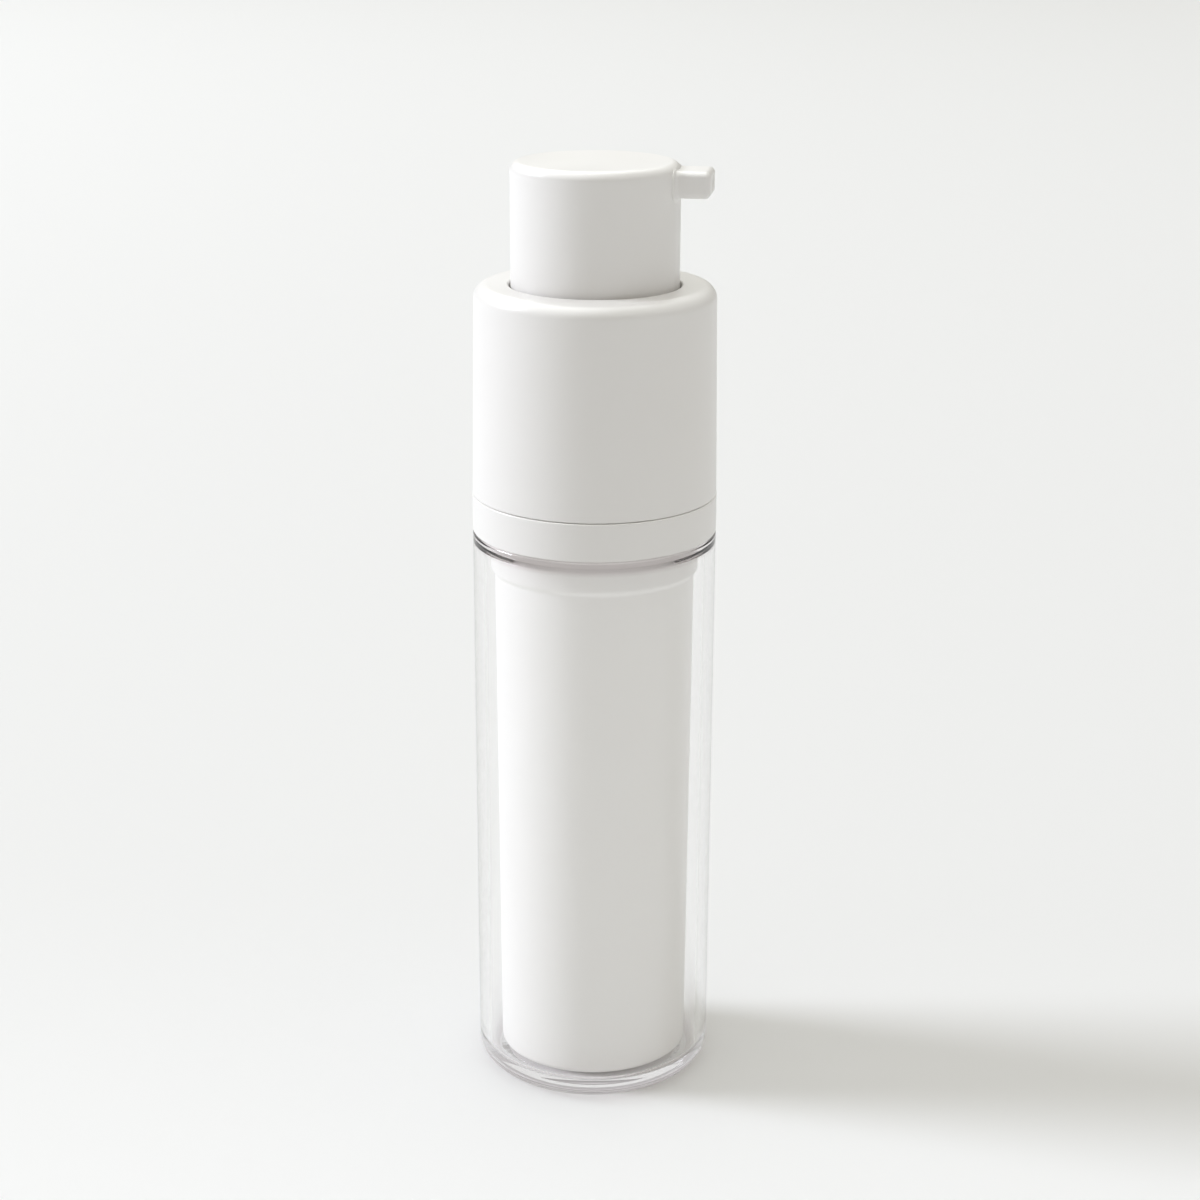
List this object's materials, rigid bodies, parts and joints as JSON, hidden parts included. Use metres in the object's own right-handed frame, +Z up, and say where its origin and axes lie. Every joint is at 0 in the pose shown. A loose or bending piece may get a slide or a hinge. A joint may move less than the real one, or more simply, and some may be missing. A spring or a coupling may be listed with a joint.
{
  "type": "airless pump bottle",
  "caption": "Slim airless pump bottle: white inner bottle in a clear outer one, white ring and twist-up collar, round actuator with a square side nozzle.",
  "frame": {"origin": "centre of the face that the bottle stands on", "axes": "+Z up along the bottle's axis, +X the way the nozzle points"},
  "size_m": [0.035, 0.035, 0.1364],
  "materials": {
    "clear_plastic": "clear, polished",
    "white_bottle": "smooth white",
    "white_plastic": "polished white",
    "inner_plastic": "as moulded",
    "natural_plastic": "milky, waxy",
    "seal_rubber": "soft, matte",
    "spring_steel": "drawn wire",
    "ball_steel": "ground and polished"
  },
  "bodies": {
    "bottle": {"outer_bottle": "clear_plastic", "inner_bottle": "white_bottle", "mouth_gasket": "seal_rubber", "mouth_plug": "inner_plastic", "wiper_seal": "seal_rubber", "guide_housing": "inner_plastic", "base_ring": "white_plastic"},
    "collar": {"twist_collar": "white_plastic", "cam_sleeve": "inner_plastic"},
    "lift": {"lift_carrier": "inner_plastic", "flange_gasket": "seal_rubber", "pump_cylinder": "inner_plastic", "ball_cage": "inner_plastic", "stem_guide": "inner_plastic", "return_spring": "spring_steel"},
    "head": {"actuator_shell": "white_plastic", "actuator_core": "inner_plastic", "nozzle_insert": "white_plastic", "pump_stem": "inner_plastic", "pump_piston": "natural_plastic"},
    "follower": {"follower_piston": "natural_plastic"},
    "inlet_valve": {"inlet_ball": "ball_steel"},
    "outlet_valve": {"outlet_ball": "ball_steel"}
  },
  "joints": [
    {"name": "collar_twist", "type": "hinge", "parent": "bottle", "child": "collar", "pos_m": [0, 0, 0.0897], "axis": [0, 0, 1], "range_deg": [-110, 0]},
    {"name": "head_lift", "type": "slide", "parent": "bottle", "child": "lift", "axis": [0, 0, 1], "range_m": [-0.0065, 0]},
    {"name": "head_press", "type": "slide", "parent": "lift", "child": "head", "axis": [0, 0, 1], "range_m": [-0.005, 0], "stiffness_N_per_m": 2000, "springref_m": 0.0015, "deforming": ["return_spring"]},
    {"name": "follower_rise", "type": "slide", "parent": "bottle", "child": "follower", "axis": [0, 0, 1], "range_m": [0, 0.0668]},
    {"name": "inlet_ball_lift", "type": "slide", "parent": "lift", "child": "inlet_valve", "axis": [0, 0, 1], "range_m": [0, 0.0007]},
    {"name": "outlet_ball_lift", "type": "slide", "parent": "head", "child": "outlet_valve", "axis": [0, 0, 1], "range_m": [0, 0.0008]}
  ],
  "couplings": [
    {"joint": "collar_twist", "follows": "head_lift", "rad_per_m": 295.36}
  ]
}
